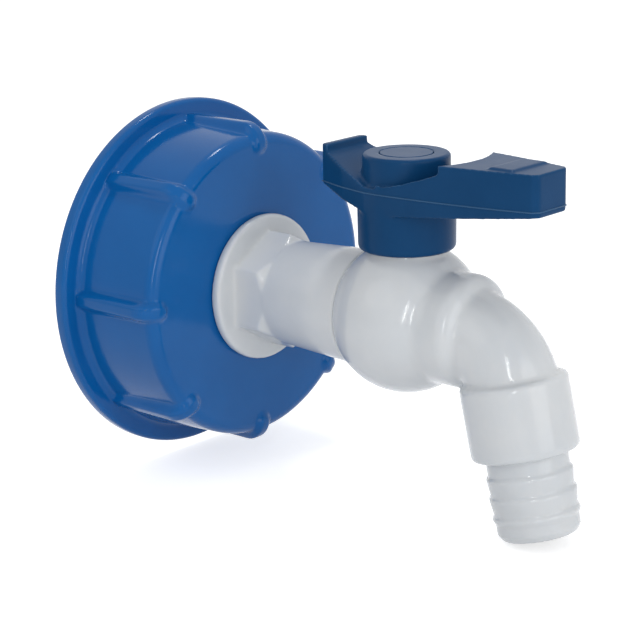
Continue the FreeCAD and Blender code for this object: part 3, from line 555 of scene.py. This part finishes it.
def makeCap():
    rib = capForm["rib"]
    rows, columns = capRows(capForm), capColumns(rib)
    points, faces = [], []
    for x, r, *_ in rows:
        points += [(x * mm, r * mm * math.cos(angle), r * mm * math.sin(angle)) for angle in columns]
    for row in range(len(rows)):
        for column in range(len(columns)):
            nextRow, nextColumn = (row + 1) % len(rows), (column + 1) % len(columns)
            faces.append((row * len(columns) + column, row * len(columns) + nextColumn,
                          nextRow * len(columns) + nextColumn, nextRow * len(columns) + column))
    mesh = bpy.data.meshes.new("capShell")
    mesh.from_pydata(points, [], faces)
    labels = ("liftAlong", "liftOut", "pastEnd")
    for place, label in enumerate(labels, start=2):
        values = mesh.attributes.new(label, "FLOAT", "POINT")
        values.data.foreach_set("value", [row[place] * mm for row in rows for _ in columns])
    shape = bmesh.new()
    shape.from_mesh(mesh)
    bmesh.ops.recalc_face_normals(shape, faces=shape.faces)
    shape.to_mesh(mesh)
    shape.free()
    cap = grown(linked("capShell", mesh), makeRibRecipe(),
                {"Count": rib["count"], "Turn": math.radians(rib["turn"]), "Flat": rib["flat"] * mm,
                 "Foot": rib["foot"] * mm}, finishes["cap_blue"])
    for label in labels:
        cap.data.attributes.remove(cap.data.attributes[label])
    cap.data.polygons.foreach_set("use_smooth", [True] * len(cap.data.polygons))
    cap.data.set_sharp_from_angle(angle=math.radians(capForm["sharpAbove"]))
    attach(cap, "tap")
    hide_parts("cap_nut")


def makeCapThread():
    # a coarse rounded ridge that winds along the cap's bore and sinks in at both ends
    form = capForm["thread"]
    turns = (form["finish"] - form["start"]) / form["pitch"]
    count = int(turns * form["pointsPerTurn"])
    points = []
    for index in range(count + 1):
        share = index / count
        fade = min(1.0, share * turns / form["runOut"], (1 - share) * turns / form["runOut"])
        radius = form["centre"] + (1 - fade) * form["radius"]
        angle = -share * turns * math.tau
        points.append((form["start"] + share * turns * form["pitch"], radius * math.cos(angle),
                       radius * math.sin(angle)))
    bead("capThread", points, False, form, "tap", finishes["cap_blue"])


makeCap()
makeCapThread()
print("cap made")


# ---- white mouldings: inlet, ball housing with its elbow, hose tail ----
whiteForms = {  # grain is the remesh's step in mm, and a valley's ring lies round the flow's axis
    "inlet_body": {"name": "inletMoulding", "body": "tap", "grain": 0.42, "rounds": 5},
    "valve_body": {"name": "housingMoulding", "body": "tap", "grain": 0.5, "rounds": 5,
                   "valleys": {"reach": 2.4, "strength": 1.6, "rounds": 14,
                               "rings": [{"x": 80.9, "z": -0.6, "radius": 12.4},
                                         {"x": 89.7, "z": -0.6, "radius": 9.9}]}},
    "nozzle": {"name": "hoseTailMoulding", "body": "tap", "grain": 0.32, "rounds": 4},
}
for nodeName, form in whiteForms.items():
    softCopy(nodeName, form["name"], form)
print("white mouldings made")


# ---- lever, its plug and the line where its mould closed ----
leverForms = {
    "lever": {"name": "leverMoulding", "body": "handle", "grain": 0.34, "rounds": 4,
              # raised edges get a painted highlight
              "edgeHighlight": {"from": 0.12, "to": 0.34}},
    "hub_plug": {"name": "plugMoulding", "body": "handle", "grain": 0.2, "rounds": 3},
}
partingLine = {"height": 28.92, "radius": 0.2, "sides": 8, "flatness": 0.8, "step": 0.7}


def outlineAt(nodeName, height):
    # the outer loop of a node's section at one height, as points in order
    piece = mergedCopy(nodeName, "section")
    shape = bmesh.new()
    shape.from_mesh(piece.data)
    cut = bmesh.ops.bisect_plane(shape, geom=shape.verts[:] + shape.edges[:] + shape.faces[:],
                                 plane_co=(0, 0, height * mm), plane_no=(0, 0, 1))
    # a dict keeps its order, so that each run starts at the same edge
    edges = {item: None for item in cut["geom_cut"] if isinstance(item, bmesh.types.BMEdge)}
    loops = []
    while edges:
        edge, _ = edges.popitem()
        start, corner = edge.verts
        loop = [start]
        while corner != start:
            loop.append(corner)
            following = [item for item in corner.link_edges if item in edges]
            if not following:
                break
            del edges[following[0]]
            corner = following[0].other_vert(corner)
        loops.append([vertex.co / mm for vertex in loop])
    shape.free()
    bpy.data.objects.remove(piece)
    return max(loops, key=lambda loop: max(point.x for point in loop) - min(point.x for point in loop))


def makePartingLine():
    points = []
    for point in outlineAt("lever", partingLine["height"]):
        if not points or (point - points[-1]).length > partingLine["step"]:
            points.append(point)
    # the bead's paler blue is a painted highlight
    bead("leverPartingLine", points, True, partingLine, "handle", mouldLine)


for nodeName, form in leverForms.items():
    softCopy(nodeName, form["name"], form)
makePartingLine()
print("lever made")


# ---- floor, backdrop and light ----
studio = {
    "floorGap": 0.5,  # mm below the lowest point
    "floorReach": 3.0,  # metres
    "floorGlow": 0.62,
    "world": 0.45,
}
lamps = {  # direction from the object's middle and size in metres
    "soft": {"at": (-0.25, -0.85, 0.7), "size": (0.9, 0.9), "watts": 1.5},
    "right": {"at": (1.0, -0.1, 0.25), "size": (0.8, 0.8), "watts": 3.1},
    "top": {"at": (-0.1, 0.26, 0.95), "size": (0.18, 0.18), "watts": 2.1},
    "strip": {"at": (0.56, -0.77, 0.31), "size": (0.045, 0.6), "watts": 1.7, "tilt": 17.0},
}


def makeFloor():
    # a pale floor that turns white where it is seen, and keeps a soft shadow
    paint = Paint("floorPaint")
    speck = paint.noise(6.0, 2.0)
    plain = paint.node("ShaderNodeBsdfDiffuse", {}, {"Color": paint.between(speck, (0.88, 0.88, 0.88),
                                                                            (0.92, 0.92, 0.92))})
    glow = paint.node("ShaderNodeEmission", {}, {"Color": (1.0, 1.0, 1.0), "Strength": studio["floorGlow"]})
    lifted = paint.node("ShaderNodeAddShader", {}, {0: plain, 1: glow})
    both = paint.node("ShaderNodeMixShader", {}, {0: paint.seen(), 1: plain, 2: lifted})
    paint.node("ShaderNodeOutputMaterial", {}, {"Surface": both})
    mesh = bpy.data.meshes.new("floor")
    reach, height = studio["floorReach"], cadLow.z - studio["floorGap"] * mm
    mesh.from_pydata([(-reach, -reach, height), (reach, -reach, height), (reach, reach, height),
                      (-reach, reach, height)], [], [(0, 1, 2, 3)])
    floor = linked("floor", mesh)
    floor.data.materials.append(paint.material)


def makeWorld():
    # even pale light all round, white where it is seen
    world = bpy.data.worlds.new("world")
    scene.world = world
    world.use_nodes = True
    world.node_tree.nodes.clear()
    sky = Nodes(world.node_tree)
    lit = sky.node("ShaderNodeBackground", {}, {"Color": (0.96, 0.975, 1.0), "Strength": studio["world"]})
    white = sky.node("ShaderNodeBackground", {}, {"Color": (1.0, 1.0, 1.0), "Strength": 1.0})
    both = sky.node("ShaderNodeMixShader", {}, {0: sky.seen(), 1: lit, 2: white})
    sky.node("ShaderNodeOutputWorld", {}, {"Surface": both})


def makeLamps():
    # each lamp faces the object's middle
    middle = (cadLow + cadHigh) / 2
    for name, lamp in lamps.items():
        data = bpy.data.lights.new(name, "AREA")
        data.shape = "ELLIPSE"
        data.size, data.size_y = lamp["size"]
        data.energy = lamp["watts"]
        holder = linked(name, data)
        place = Vector(lamp["at"]) + middle
        facing = Vector(lamp["at"]).to_track_quat("Z", "Y").to_matrix().to_4x4()
        tilt = Matrix.Rotation(-math.radians(lamp.get("tilt", 0.0)), 4, "Z")
        holder.matrix_world = Matrix.Translation(place) @ facing @ tilt


makeFloor()
makeWorld()
makeLamps()
print("stage and light made")
